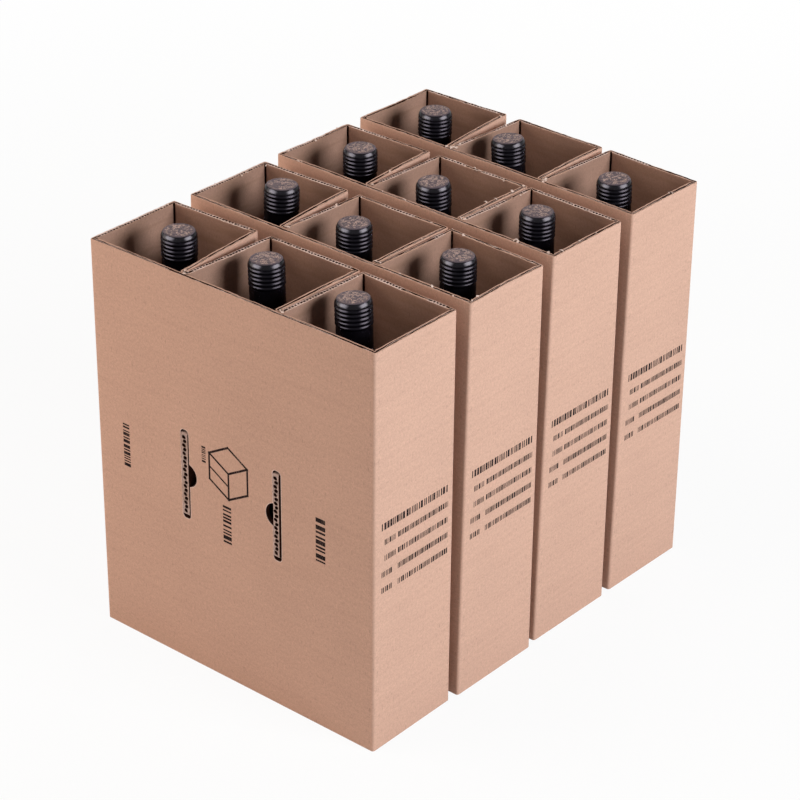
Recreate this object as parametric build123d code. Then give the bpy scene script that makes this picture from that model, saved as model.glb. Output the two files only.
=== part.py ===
from build123d import *
import os
from math import acos, asin, atan2, cos, degrees, hypot, pi, sin, sqrt

# Courier pack for twelve bottles: four folded sleeves of corrugated board, three cells in each,
# with a sealed bottle under a screw cap in every cell. Millimetres, +Z up, the front panels face -Y.

# Corrugated board
board = 4.4  # thickness of the sheet
score_depth = 1.5  # of the groove crushed along the inside of a right-angled fold
touch = 0.3  # space kept between surfaces that rest against each other

# Sleeve; its length and depth follow from the bottles
cell_room = 16.4  # spare width of a cell beside its bottle
depth_room = 13.2  # spare depth of a cell in front of and behind its bottle
sleeve_height = 360.0
divider_gap = 0.8  # between the two layers of a divider at its front fold
divider_splay = 1.6  # how far a divider stands outwards at the back of the sleeve
back_bulge = 3.0  # how far the cell backs stand out where they meet a divider

# Locking slots halfway up the front panel, and the divider tabs that fill them
slot_width = 8.8
slot_height = 83.0
slot_corner = 1.8
tab_height = 77.0
tab_corner = 2.0
notch_height = 21.0  # half-moon thumb notch beside the slot
notch_reach = 8.0

# Floor of a cell: a flap that is folded in from the cell back and raises the bottle
floor_rise = 36.0
flap_gap = 1.0  # to the walls around it
fold_sides = 8  # of the flattened round at its folds

# How the four sleeves stand, from the front one to the back one
sleeve_across = (0.0, 1.6, 0.0, 0.7)  # start of the left end, along X
sleeve_space = (11.4, 11.1, 11.3)  # to the sleeve behind, at the left end
sleeve_turn = (0.0, -0.46, -0.86, -1.09)  # degrees about Z
draw_in = (0.0, 5.4, 6.7, 5.6)  # how far the front panel leans in at the rim
openings = ((12.9, 2.5), (11.3, 2.7), (9.8, 2.4), (13.7, 7.6))  # of the two dividers at the back

# Bottle
bottle_diameter = 74.0
heel = 4.0
shoulder_height = 188.0
shoulder_radius = 38.0
neck_blend = 18.0
neck_length = 37.7  # between the shoulder and the cap
shoulder_steps = 3  # cones that make up the round of the shoulder
blend_steps = 2

# Screw cap
cap_diameter = 29.0  # over the skirt
cap_length = 60.0
cap_skin = 0.4
cap_liner = 2.0  # sealing disc that is fixed inside the top
cap_fit = 0.15  # space between the cap and the neck
cap_roll = 2.8  # radius of the rolled top edge
roll_steps = 2
bead_stand = 0.5  # how far the rolled edge stands out over the skirt
bead_fall = 1.2  # height in which it comes back to the skirt

# Where each cap stands, measured from the middle of its cell
cap_shift = (
    ((6.0, -1.0), (-10.0, 6.5), (-13.4, -0.5)),
    ((6.5, 10.7), (-3.7, -4.4), (-3.0, 5.4)),
    ((5.6, 4.9), (-3.9, -11.7), (-5.2, 6.0)),
    ((1.7, 2.3), (-13.4, -4.6), (3.7, -9.1)),
)

half_board = board / 2
cells = len(openings[0]) + 1
cell_pitch = bottle_diameter + cell_room + 2 * board + divider_gap
sleeve_length = cells * cell_pitch
sleeve_depth = bottle_diameter + depth_room + 2 * board
fold_front = board + touch + half_board  # middle of a divider's front fold, behind the front panel
layer_offset = (board + divider_gap) / 2  # from the middle of a divider to the middle of a layer

cap_radius = cap_diameter / 2
bore_radius = cap_radius - cap_skin
cap_seat = -cap_skin - cap_liner  # level of the liner's underside below the cap's top
roll_start = cap_radius + bead_stand - cap_roll  # where the flat top ends

bottle_radius = bottle_diameter / 2
neck_radius = bore_radius - cap_fit
shoulder_centre = bottle_radius - shoulder_radius
shoulder_turn = acos((neck_radius + neck_blend - shoulder_centre) / (shoulder_radius + neck_blend))
neck_height = shoulder_height + (shoulder_radius + neck_blend) * sin(shoulder_turn)
bottle_height = neck_height + neck_length + cap_length  # over the closed cap


def strip(start, end):
    """Edge-on view of a flat panel of the sheet, between two points of its middle line."""
    along = Vector(end) - Vector(start)
    middle = (Vector(start) + Vector(end)) / 2
    return Pos(middle) * Rot(0, 0, degrees(atan2(along.Y, along.X))) * Rectangle(along.length, board)


def folded(points):
    """Edge-on view of panels in a row at right angles, their folds flattened at the corner."""
    panels = [strip(start, end) for start, end in zip(points, points[1:])]
    fold = Rot(0, 0, 180 / fold_sides) * RegularPolygon(half_board, fold_sides, major_radius=False)
    return Sketch() + panels + [Pos(*point) * fold for point in points[1:-1]]


def score(fold, across, along):
    """Groove along the inside of a fold; across and along are the signs of X and Y towards the inside."""
    corner = Pos(fold[0] + across * half_board, fold[1] + along * half_board)
    side = score_depth * sqrt(2)
    return corner * Rot(0, 0, 45) * Rectangle(side, side)


def divider_folds(widths):
    """Front and back fold points of the two layers of every divider, from left to right."""
    dividers = []
    for number, width in enumerate(widths, start=1):
        middle = number * cell_pitch
        side = 1 if middle > sleeve_length / 2 else -1
        back_middle = middle + side * divider_splay
        back = sleeve_depth - half_board + back_bulge
        spread = width / 2 + half_board
        left = ((middle - layer_offset, fold_front), (back_middle - spread, back))
        right = ((middle + layer_offset, fold_front), (back_middle + spread, back))
        dividers.append((left, right))
    return dividers


def cell_walls(dividers):
    """Left and right wall of every cell as front and back points of their middle lines."""
    end = sleeve_depth - half_board
    left_end = ((half_board, half_board), (half_board, end))
    right_end = ((sleeve_length - half_board, half_board), (sleeve_length - half_board, end))
    lefts = [left_end] + [right for left, right in dividers]
    rights = [left for left, right in dividers] + [right_end]
    return list(zip(lefts, rights))


def upright(plan):
    return extrude(plan, amount=sleeve_height)


def overlong(plan):
    """Upright that runs past both ends, to be tilted and then trimmed."""
    return extrude(Pos(0, 0, -board) * plan, amount=sleeve_height + 2 * board)


def slot_outline(left, side):
    """Slot and thumb notch seen from the front, as X and Z; the notch is on the given side of the slot."""
    middle = left + slot_width / 2
    slot = chamfer(Rectangle(slot_width, slot_height).vertices(), slot_corner)
    half = notch_height / 2
    radius = (half**2 + notch_reach**2) / (2 * notch_reach)
    notch = Pos(side * (slot_width / 2 + notch_reach - radius)) * Circle(radius)
    notch &= Pos(side * radius) * Rectangle(2 * radius, 2 * radius)
    return Pos(middle, sleeve_height / 2) * (slot + notch)


def through_front(outline, start, depth):
    """Outline drawn on the front panel, extruded along +Y from start."""
    facing = Plane(origin=(0, start, 0), x_dir=(1, 0, 0), z_dir=(0, -1, 0))
    return extrude(facing * outline, amount=-depth)


def front_panel(dividers):
    """Front panel with its two end folds and its slots, and the front folds of the dividers."""
    left = (half_board, half_board)
    right = (sleeve_length - half_board, half_board)
    panel = strip(left, right) + Pos(*left) * Circle(half_board) + Pos(*right) * Circle(half_board)
    panel -= score(left, 1, 1)
    panel -= score(right, -1, 1)
    front = overlong(panel)
    for (layer_a, _), (layer_b, _) in dividers:
        side = 1 if layer_a[0] < sleeve_length / 2 else -1
        slot_left = layer_a[0] - half_board - touch
        outline = slot_outline(slot_left, side)
        front -= through_front(outline, -touch, touch + board + touch / 2)
        turn = strip(layer_a, layer_b)
        turn += Pos(*layer_a) * Circle(half_board)
        turn += Pos(*layer_b) * Circle(half_board)
        front += overlong(turn)
    return front


def lock_tabs(dividers):
    """Tabs that carry the left layer of each divider straight on, flush with the front panel."""
    half = tab_height / 2
    outline = Polyline(
        (fold_front, -half),
        (tab_corner, -half),
        (0, tab_corner - half),
        (0, half - tab_corner),
        (tab_corner, half),
        (fold_front, half),
        close=True,
    )
    tabs = Part()
    for (layer_a, _), _ in dividers:
        start = (layer_a[0] - half_board, 0, sleeve_height / 2)
        side_view = Plane(origin=start, x_dir=(0, 1, 0), z_dir=(1, 0, 0))
        tabs += extrude(side_view * make_face(outline), amount=board)
    return tabs


def tab_windows(dividers):
    """Space that each tab leaves in the fold and in the right layer of its divider."""
    windows = Part()
    for (layer_a, _), (layer_b, _) in dividers:
        left = layer_a[0] + half_board
        right = layer_b[0] + board
        depth = fold_front + half_board
        middle = ((left + right) / 2, board + touch / 2 + depth / 2, sleeve_height / 2)
        windows += Pos(*middle) * Box(right - left, depth, tab_height + 2 * touch)
    return windows


def cell_floor(walls, draw):
    """Flap folded in from a cell back: along the ground, up at the front and back over the top."""
    (left_front, left_back), (right_front, right_back) = walls
    start = max(left_front[0], left_back[0]) + half_board + flap_gap
    end = min(right_front[0], right_back[0]) - half_board - flap_gap
    front = board + draw * floor_rise / sleeve_height + flap_gap + half_board
    back = (left_back[1] + right_back[1]) / 2
    top = floor_rise - half_board
    free_end = sleeve_depth - board - flap_gap
    profile = folded([(back, half_board), (front, half_board), (front, top), (free_end, top)])
    side_view = Plane(origin=(start, 0, 0), x_dir=(0, 1, 0), z_dir=(1, 0, 0))
    return extrude(side_view * profile, amount=end - start)


def make_sleeve(widths, draw):
    """One sleeve: the whole sheet, folded and glued, with its front panel leaning in at the rim."""
    dividers = divider_folds(widths)
    walls = cell_walls(dividers)
    lean = Rot(-degrees(atan2(draw, sleeve_height)), 0, 0)

    def ahead_of(line):
        """Everything ahead of a leaning line that is given at the ground."""
        size = Box(2 * sleeve_length, sleeve_depth, 3 * sleeve_height)
        return lean * Pos(sleeve_length / 2, line - sleeve_depth / 2, 0) * size

    ends = Sketch() + strip(*walls[0][0]) + strip(*walls[-1][1])
    layers = Sketch() + [strip(*layer) for divider in dividers for layer in divider]
    backs = Sketch()
    grooves = Sketch()
    for left, right in walls:
        backs += strip(left[1], right[1])
        backs += Pos(*left[1]) * Circle(half_board)
        backs += Pos(*right[1]) * Circle(half_board)
        grooves += score(left[1], 1, -1)
        grooves += score(right[1], -1, -1)

    sheet = upright(ends) - ahead_of(half_board)
    sheet += upright(layers) - ahead_of(fold_front)
    sheet += upright(backs)
    sheet -= upright(grooves)
    sheet += lean * front_panel(dividers)
    sheet -= lean * tab_windows(dividers)
    sheet += lean * lock_tabs(dividers)
    for cell in walls:
        sheet += cell_floor(cell, draw)
    envelope = Pos(sleeve_length / 2, 0, sleeve_height / 2)
    return sheet & envelope * Box(2 * sleeve_length, 4 * sleeve_depth, sleeve_height)


def round_off(centre, radius, start, end, steps):
    """Points at even angles along a round stretch of an outline, its two ends included."""
    angles = [start + (end - start) * step / steps for step in range(steps + 1)]
    return [(centre[0] + radius * cos(angle), centre[1] + radius * sin(angle)) for angle in angles]


def make_bottle():
    """Sealed glass bottle with its wine, standing on the origin; the cap has its own piece."""
    top = bottle_height + cap_seat - cap_fit
    shoulder = (shoulder_centre, shoulder_height)
    blend = (neck_radius + neck_blend, neck_height)
    outline = [(0, 0), (bottle_radius - heel, 0), (bottle_radius, heel)]
    outline += round_off(shoulder, shoulder_radius, 0, shoulder_turn, shoulder_steps)
    outline += round_off(blend, neck_blend, pi + shoulder_turn, pi, blend_steps)[1:]
    outline += [(neck_radius, top), (0, top)]
    return revolve(Plane.XZ * make_face(Polyline(*outline, close=True)), Axis.Z)


def make_cap():
    """Long aluminium screw cap with a rolled top edge, its top at the bottle's height."""
    outline = [(0, 0)]
    outline += round_off((roll_start, -cap_roll), cap_roll, pi / 2, 0, roll_steps)
    outline += [(cap_radius, -cap_roll - bead_fall), (cap_radius, -cap_length)]
    outline += [(bore_radius, -cap_length), (bore_radius, cap_seat), (0, cap_seat)]
    profile = make_face(Polyline(*outline, close=True))
    return Pos(0, 0, bottle_height) * revolve(Plane.XZ * profile, Axis.Z)


def within(value, room):
    return max(room[0], min(room[1], value))


def settle(aim, foot_room, shoulder_room):
    """Foot and shoulder of a bottle along one axis, so that its cap comes nearest to aim."""
    share = shoulder_height / bottle_height
    foot = within(aim, foot_room)
    shoulder = within(foot + (aim - foot) * share, shoulder_room)
    foot = within((shoulder - aim * share) / (1 - share), foot_room)
    return foot, shoulder


def bottle_place(walls, draw, shift):
    """Location of a bottle that stands on its cell's floor and leans no further than the walls."""
    (left_front, left_back), (right_front, right_back) = walls
    left = (left_front[0] + left_back[0]) / 2 + half_board
    right = (right_front[0] + right_back[0]) / 2 - half_board
    slack = (right - left) / 2 - bottle_radius - touch
    slant = max(abs(left_back[0] - left_front[0]), abs(right_back[0] - right_front[0]))
    play = slack - slant * bottle_radius / sleeve_depth / 2
    middle = (left + right) / 2
    centre = sleeve_depth / 2
    back_room = centre - board - bottle_radius - touch

    def front_room(height):
        return draw * height / sleeve_height - back_room

    shoulder_level = floor_rise + shoulder_height
    foot_x, shoulder_x = settle(shift[0], (-play, play), (-play, play))
    foot_rooms = (front_room(floor_rise), back_room)
    shoulder_rooms = (front_room(shoulder_level), back_room)
    foot_y, shoulder_y = settle(shift[1], foot_rooms, shoulder_rooms)
    lean_x = asin((shoulder_x - foot_x) / shoulder_height)
    lean_y = asin((shoulder_y - foot_y) / shoulder_height)
    lift = (bottle_radius - heel) * sin(hypot(lean_x, lean_y))
    place = Pos(middle + foot_x, centre + foot_y, floor_rise + touch + lift)
    return place * Rot(-degrees(lean_y), degrees(lean_x), 0)


bottle = make_bottle()
cap = make_cap()
pieces = {}
behind = 0.0
for row in range(len(openings)):
    stand = Pos(sleeve_across[row], behind, 0) * Rot(0, 0, sleeve_turn[row])
    pieces[f"sleeve_{row + 1}"] = stand * make_sleeve(openings[row], draw_in[row])
    for column, cell in enumerate(cell_walls(divider_folds(openings[row]))):
        place = stand * bottle_place(cell, draw_in[row], cap_shift[row][column])
        pieces[f"bottle_{row + 1}_{column + 1}"] = place * bottle
        pieces[f"cap_{row + 1}_{column + 1}"] = place * cap
    if row < len(sleeve_space):
        behind += sleeve_depth + sleeve_space[row]

# The origin lies on the ground under the middle of the four sleeves
sleeves = Compound([piece.solid() for name, piece in pieces.items() if name.startswith("sleeve")])
middle = sleeves.bounding_box().center()
os.makedirs("parts", exist_ok=True)
for name, piece in pieces.items():
    export_step(Pos(-middle.X, -middle.Y, 0) * piece, f"parts/{name}.step")
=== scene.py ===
"""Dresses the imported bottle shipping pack: folded board sleeves, bottles, caps and a stage."""

import math
import random

import bmesh
import bpy
import numpy as np
from bpy.props import FloatProperty, FloatVectorProperty, IntProperty, PointerProperty
from mathutils import Matrix, Vector, noise
from mathutils.geometry import delaunay_2d_cdt


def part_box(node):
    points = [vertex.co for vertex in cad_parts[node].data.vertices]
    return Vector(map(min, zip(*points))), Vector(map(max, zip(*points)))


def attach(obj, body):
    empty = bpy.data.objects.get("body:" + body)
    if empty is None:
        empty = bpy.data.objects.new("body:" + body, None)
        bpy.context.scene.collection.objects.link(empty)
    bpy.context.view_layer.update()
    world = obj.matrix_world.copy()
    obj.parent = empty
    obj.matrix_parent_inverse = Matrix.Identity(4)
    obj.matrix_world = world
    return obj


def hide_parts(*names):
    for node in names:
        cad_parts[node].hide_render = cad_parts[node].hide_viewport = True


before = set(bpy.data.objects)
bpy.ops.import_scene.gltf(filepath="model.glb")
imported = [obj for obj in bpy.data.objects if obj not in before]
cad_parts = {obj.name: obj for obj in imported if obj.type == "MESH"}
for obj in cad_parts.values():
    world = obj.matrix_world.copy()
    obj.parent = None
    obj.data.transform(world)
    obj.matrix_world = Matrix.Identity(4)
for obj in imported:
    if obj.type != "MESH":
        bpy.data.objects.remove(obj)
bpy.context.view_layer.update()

bl_info = {
    "name": "Bottle shipping pack",
    "version": (1, 0, 0),
    "blender": (4, 5, 0),
    "location": "View3D > Sidebar > Shipping Pack",
    "description": "Board sleeves with real cut edges, sealed bottles and screw caps",
    "category": "Object",
}

# Lengths in the functions are in millimetres, as in the part; finished meshes are in metres
MM = 0.001

# Sleeves, from the front one to the back one, as the part has them
SLEEVE_LENGTH = 300.0
SLEEVE_DEPTH = 96.0
SLEEVE_HEIGHT = 360.0
CELL_PITCH = 100.0
DIVIDER_GAP = 0.8
DIVIDER_SPLAY = 1.6
BACK_BULGE = 3.0
TOUCH = 0.3
TAB_HEIGHT = 77.0
FLOOR_RISE = 36.0
FLAP_GAP = 1.0
SLEEVE_ACROSS = (0.0, 1.6, 0.0, 0.7)
SLEEVE_SPACE = (11.4, 11.1, 11.3)
SLEEVE_TURN = (0.0, -0.46, -0.86, -1.09)
DRAW_IN = (0.0, 5.4, 6.7, 5.6)
OPENINGS = ((12.9, 2.5), (11.3, 2.7), (9.8, 2.4), (13.7, 7.6))
CREASE = 2.4
BOW_START = 240.0
KNIFE_MARKS = (0.9, 0.1, 0.25, -0.05)
FLAKES = (8, 26, 44, 16)

# Materials of the board, by their number on a sleeve; the medium's near-black colour is painted
# shade of the flute channels and hollows
OUTSIDE, CUT, MEDIUM_SHADE, INK, INSIDE, PRESSED, TORN = range(7)

# Walls of a sleeve, by their number along its sheet
FRONT_PANEL, RIGHT_END = 0, 1
DIVIDER_FRONTS = (4, 8)

# Bottle and cap, as the part has them
BOTTLE_RADIUS = 37.0
HEEL = 4.0
SHOULDER_HEIGHT = 188.0
SHOULDER_RADIUS = 38.0
NECK_BLEND = 18.0
NECK_RADIUS = 13.95
NECK_TOP = 328.4
CAP_LENGTH = 60.0
CAP_RADIUS = 14.5
CAP_OVER_NECK = 2.55

# Stage, in metres. Lamps: place, aim, size, colour, and whether the caps mirror them
FLOOR_SIZE = (18.0, 18.0)
LAMPS = {
    "key": ((2.6, 0.24, 1.36), (0, 0, 0.2), (1.4, 0.9), (0.94, 0.98, 1.0), True),
    "fill": ((-1.13, -1.1, 0.62), (-0.05, -0.2, 0.15), (1.2, 0.8), (1.0, 0.87, 0.76), True),
    "back": ((-0.9, 2.0, 0.8), (-0.05, 0.1, 0.15), (1.2, 0.9), (1.0, 0.95, 0.90), False),
    "top": ((-0.6, -1.0, 2.4), (0, 0, 0.3), (1.2, 1.2), (1.0, 0.88, 0.78), True),
}

# Soft boxes: place, and share of the glint's brightness
SOFTBOXES = {
    "softbox_right": ((2.32, 0.62, 1.32), 1.0),
    "softbox_left": ((-1.01, -2.17, 1.32), 0.85),
}
SOFTBOX_AIM = (0, 0, 0.35)
SOFTBOX_SIZE = (3.4, 1.5)

# Camera of the photograph: its place, and the directions right, up and back of its picture
CAMERA_PLACE = (1.29680, -1.55354, 1.29721)
CAMERA_AXES = (
    (0.76406, 0.64509, 0.00873),
    (-0.31759, 0.36431, 0.87545),
    (0.56156, -0.67167, 0.48323),
)


def colour_setting(name, description, default):
    return FloatVectorProperty(
        name=name, description=description, subtype="COLOR", default=default, min=0.0, max=1.0,
    )


def length_setting(name, description, millimetres):
    return FloatProperty(
        name=name, description=description, unit="LENGTH", default=millimetres * MM,
    )


def light_setting(name, description, default, **kind):
    return FloatProperty(name=name, description=description, default=default, **kind)


class BoardSettings(bpy.types.PropertyGroup):
    """Corrugated board of the sleeves and the print on it"""

    kraft: colour_setting("Kraft", "Colour of the liner on the outside", (0.635, 0.400, 0.308))
    # Darker than the outside: partly the inner liner's own colour, partly painted shade of the
    # cells' insides
    inner: colour_setting("Inner kraft", "Colour of the liner on the inside", (0.420, 0.250, 0.188))
    cut: colour_setting("Cut edge", "Colour of a liner where it is cut or torn", (0.82, 0.60, 0.53))
    # Near black: painted shade inside the open channels between the liners, not the medium's own
    # colour
    core: colour_setting("Medium", "Colour of the waved paper inside", (0.060, 0.025, 0.018))
    ink: colour_setting("Ink", "Colour of the print", (0.012, 0.008, 0.009))
    thickness: length_setting("Thickness", "Thickness of the whole sheet", 4.4)
    liner: length_setting("Liner", "Width that a liner shows at a cut edge", 0.5)
    flute: length_setting("Flute pitch", "From one wave of the medium to the next", 7.8)
    channel: length_setting("Channel depth", "Depth of the open cut edge between the liners", 3.0)
    tooth: length_setting("Tooth width", "Width of a knife mark under the rim", 1.6)
    bow: length_setting("Bow", "How far a wall may bow between its folds at the rim", 0.9)
    seed: IntProperty(name="Seed", description="Start of the irregular rims", default=7, min=0)


class BottleSettings(bpy.types.PropertyGroup):
    """Dark glass of the sealed bottles"""

    glass: colour_setting("Glass", "Colour of the filled bottle", (0.012, 0.015, 0.009))
    punt: length_setting("Punt", "Depth of the hollow in the bottom", 16.0)
    facets: IntProperty(name="Facets", description="Round the bottle", default=64, min=16)


class CapSettings(bpy.types.PropertyGroup):
    """Lacquered screw caps"""

    lacquer: colour_setting("Lacquer", "Colour of the sides", (0.0030, 0.0026, 0.0042))
    worn: colour_setting("Worn top", "Colour of the rubbed top", (0.120, 0.092, 0.108))
    scuff: colour_setting("Scuffs", "Colour where the top is rubbed through", (0.56, 0.405, 0.345))
    rib: length_setting("Rib height", "How far the rolled ribs stand out", 0.75)
    facets: IntProperty(name="Facets", description="Round the cap", default=72, min=16)


class StageSettings(bpy.types.PropertyGroup):
    """Floor, light and camera"""

    floor: colour_setting("Floor", "Colour of the floor", (0.84, 0.84, 0.84))
    back: light_setting("Back", "Light from behind", 15.0, unit="POWER")
    key: light_setting("Key", "Light from the right", 71.5, unit="POWER")
    fill: light_setting("Fill", "Light from the front left", 12.5, unit="POWER")
    top: light_setting("Top", "Light from high in front", 17.5, unit="POWER")
    glint: light_setting("Glint", "Brightness of the soft boxes in the caps", 27.0)
    ambient: light_setting("Ambient", "Strength of the light all round", 0.105)
    lens: light_setting("Lens", "Focal length", 122.43, subtype="DISTANCE_CAMERA")


class Wire:
    """Output of a node; arithmetic on it adds Math nodes."""

    def __init__(self, shader, output):
        self.shader = shader
        self.output = output

    def maths(self, operation, *values):
        return self.shader.node("ShaderNodeMath", {"operation": operation}, dict(enumerate(values)))

    def __add__(self, other):
        return self.maths("ADD", self, other)

    def __sub__(self, other):
        return self.maths("SUBTRACT", self, other)

    def __rsub__(self, other):
        return self.maths("SUBTRACT", other, self)

    def __mul__(self, other):
        return self.maths("MULTIPLY", self, other)

    def __gt__(self, other):
        return self.maths("GREATER_THAN", self, other)

    __radd__ = __add__
    __rmul__ = __mul__

    def wave(self):
        return self.maths("SINE", self)

    def between(self, low, high):
        """Smooth step from 0 at low to 1 at high."""
        settings = {"interpolation_type": "SMOOTHSTEP"}
        return self.shader.node("ShaderNodeMapRange", settings, {0: self, 1: low, 2: high})


class Shader:
    """A new material or world, and the nodes that are added to it."""

    def __init__(self, owner, **constants):
        owner.use_nodes = True
        self.owner = owner
        self.tree = owner.node_tree
        self.principled = self.tree.nodes.get("Principled BSDF")
        for socket, value in constants.items():
            self.principled.inputs[socket.replace("_", " ")].default_value = value

    def node(self, kind, settings=None, sockets=None, output=0):
        """Adds a node: its settings come first, then the values or links of its sockets."""
        made = self.tree.nodes.new(kind)
        for key, value in (settings or {}).items():
            setattr(made, key, value)
        for key, value in (sockets or {}).items():
            self.feed(made.inputs[key], value)
        return Wire(self, made.outputs[output])

    def feed(self, socket, value):
        if isinstance(value, Wire):
            self.tree.links.new(value.output, socket)
        elif hasattr(value, "__len__") and len(value) == 3 and socket.type == "RGBA":
            socket.default_value = (*value, 1.0)
        else:
            socket.default_value = value

    def surface(self, **sockets):
        for socket, value in sockets.items():
            self.feed(self.principled.inputs[socket.replace("_", " ")], value)
        return self.owner

    def mix(self, factor, first, second):
        """Colour from first to second."""
        sockets = {0: factor, 6: first, 7: second}
        return self.node("ShaderNodeMix", {"data_type": "RGBA"}, sockets, output=2)

    def stretch(self, vector, scale):
        sockets = {0: vector, 1: scale}
        return self.node("ShaderNodeVectorMath", {"operation": "MULTIPLY"}, sockets)

    def cloud(self, vector, scale, detail=2.0, rough=0.5):
        sockets = {"Vector": vector, "Scale": scale, "Detail": detail, "Roughness": rough}
        return self.node("ShaderNodeTexNoise", {}, sockets)

    def bump(self, height, strength, distance, normal=None):
        sockets = {"Strength": strength, "Distance": distance, "Height": height}
        if normal is not None:
            sockets["Normal"] = normal
        return self.node("ShaderNodeBump", {}, sockets)

    def split(self, vector, axis):
        return self.node("ShaderNodeSeparateXYZ", {}, {0: vector}, output=axis)

    def place(self):
        """Point of the surface in space."""
        return self.node("ShaderNodeNewGeometry")

    def sheet(self):
        """Point on the sheet: along and up it, or round a bottle or cap and along its outline."""
        return self.node("ShaderNodeUVMap", {"uv_map": "sheet"})


def finish(name, **constants):
    """New material; what is the same all over it is set on the shader's own sockets."""
    return Shader(bpy.data.materials.new(name), **constants)


def toned(colour, share):
    """Colour made darker or lighter."""
    return tuple(min(1.0, value * share) for value in colour)


def fibre_marks(shader, place, base, variation):
    """Paper: soft clouds, fine speckle and single fibres over the base colour; also its relief."""
    clouds = shader.cloud(place, 14.0, 3.0)
    speckle = shader.cloud(shader.stretch(place, (1.0, 0.45, 1.0)), 1500.0, 2.0, 0.7)
    pulp = shader.cloud(place, 420.0, 2.0, 0.6)
    strands = shader.cloud(shader.stretch(place, (1.0, 0.16, 1.0)), 900.0, 1.0, 0.5)
    tone = (clouds - 0.5) * 0.22 + (speckle - 0.5) * 0.90 + (pulp - 0.5) * 0.60
    colour = shader.mix(tone * variation + 0.5, toned(base, 0.70), toned(base, 1.24))
    dark_fibre = strands.between(0.66, 0.74) * 0.34
    pale_fibre = (1 - strands).between(0.67, 0.75) * 0.26
    colour = shader.mix(dark_fibre, colour, toned(base, 0.45))
    colour = shader.mix(pale_fibre, colour, toned(base, 1.45))
    return colour, speckle * 0.6 + pulp * 0.4


def board_material(name, board, kraft, handled):
    """Kraft liner: fibres, faint washboard of the flutes with painted shade along it, handling
    marks of the given strength.
    """
    shader = finish(name, Specular_IOR_Level=0.0)
    sheet = shader.sheet()
    # furrow: painted shade of the washboard's furrows, at the flute pitch; grime: handling marks
    furrow, grime = (0.18, 0.10, 0.07), (0.30, 0.17, 0.11)
    colour, relief = fibre_marks(shader, sheet, kraft, 1.0)
    drift = shader.cloud(sheet, 6.0, 1.0) * 1.6
    ridges = (shader.split(sheet, 1) * (2 * math.pi / board.flute) + drift).wave()
    marks = shader.cloud(shader.stretch(sheet, (0.4, 4.0, 1.0)), 26.0, 2.0).between(0.48, 0.70)
    colour = shader.mix(ridges * 0.010 + 0.02, colour, furrow)
    colour = shader.mix(marks * handled, colour, grime)
    normal = shader.bump(relief, 0.35, 0.00016, shader.bump(ridges, 0.07, 0.00012))
    return shader.surface(Base_Color=colour, Roughness=relief * 0.16 + 0.70, Normal=normal)


def cut_material(name, cut):
    """Cut, pressed or torn liner: pale, fibrous, with short dark nicks."""
    shader = finish(name, Specular_IOR_Level=0.0)
    place = shader.place()
    nick, dust = (0.22, 0.12, 0.08), (0.40, 0.25, 0.17)
    colour, relief = fibre_marks(shader, place, cut, 1.3)
    nicks = shader.cloud(place, 700.0, 2.0, 0.7).between(0.52, 0.68)
    dirt = shader.cloud(place, 60.0, 2.0).between(0.46, 0.68)
    colour = shader.mix(dirt * 0.30, shader.mix(nicks * 0.45, colour, nick), dust)
    normal = shader.bump(relief, 0.6, 0.0003)
    return shader.surface(Base_Color=colour, Roughness=relief * 0.1 + 0.82, Normal=normal)


def medium_shade_material(board):
    """Medium between the liners, near black as painted shade of the channels it lines."""
    shader = finish("fluted_medium", Specular_IOR_Level=0.0)
    colour, relief = fibre_marks(shader, shader.place(), board.core, 1.2)
    normal = shader.bump(relief, 0.5, 0.0003)
    return shader.surface(Base_Color=colour, Roughness=relief * 0.1 + 0.85, Normal=normal)


def ink_material(board):
    """Print that has soaked into the liner, thinner where the fibres lie low."""
    shader = finish("printed_ink", Specular_IOR_Level=0.02)
    sheet = shader.sheet()
    pulp = shader.cloud(sheet, 1100.0, 2.0, 0.7)
    worn = shader.cloud(sheet, 90.0, 2.0)
    thin = (pulp * 0.65 + worn * 0.35).between(0.52, 0.66) * 0.42
    colour = shader.mix(thin, board.ink, toned(board.kraft, 0.6))
    normal = shader.bump(pulp, 0.25, 0.0001)
    return shader.surface(Base_Color=colour, Roughness=pulp * 0.2 + 0.52, Normal=normal)


def glass_material(bottle):
    """Dark glass over dark wine, with the faint waviness and dust of a stored bottle."""
    shader = finish("dark_glass", Coat_Weight=0.35, Coat_Roughness=0.03, IOR=1.52)
    place = shader.place()
    waves = shader.cloud(place, 38.0, 2.0)
    dust = shader.cloud(place, 900.0, 3.0, 0.7).between(0.58, 0.78)
    film = shader.cloud(place, 22.0, 3.0).between(0.42, 0.70)
    colour = shader.mix(film * 0.25 + dust * 0.12, bottle.glass, (0.06, 0.058, 0.05))
    rough = film * 0.10 + dust * 0.10 + 0.07
    normal = shader.bump(waves, 0.12, 0.0006)
    return shader.surface(Base_Color=colour, Roughness=rough, Normal=normal)


def lacquer_material(cap):
    """Black lacquer of the cap's side: rolled lines, and a glossier band under the top edge."""
    shader = finish(
        "black_lacquer", Specular_IOR_Level=0.08, Specular_Tint=(0.95, 0.86, 1.0, 1.0),
        Coat_Roughness=0.12,
    )
    place, sheet = shader.place(), shader.sheet()
    bloom, primer = (0.012, 0.011, 0.015), (0.13, 0.11, 0.11)
    band_start, band_end = (0.0132, 0.0140), (0.0168, 0.0178)
    lines = shader.cloud(shader.stretch(sheet, (0.0, 1.0, 0.0)), 2600.0, 1.0)
    haze = shader.cloud(place, 120.0, 3.0).between(0.38, 0.72)
    chips = shader.cloud(place, 520.0, 3.0, 0.75).between(0.71, 0.78)
    colour = shader.mix(haze * 0.30, cap.lacquer, bloom)
    colour = shader.mix(chips * 0.40, colour, primer)
    rough = haze * 0.08 + lines * 0.05 + 0.15
    down = shader.split(sheet, 1)
    band = down.between(*band_start) * (1 - down.between(*band_end))
    normal = shader.bump(lines, 0.08, 0.00005)
    coat = band * 0.13
    return shader.surface(Base_Color=colour, Roughness=rough, Coat_Weight=coat, Normal=normal)


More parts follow.
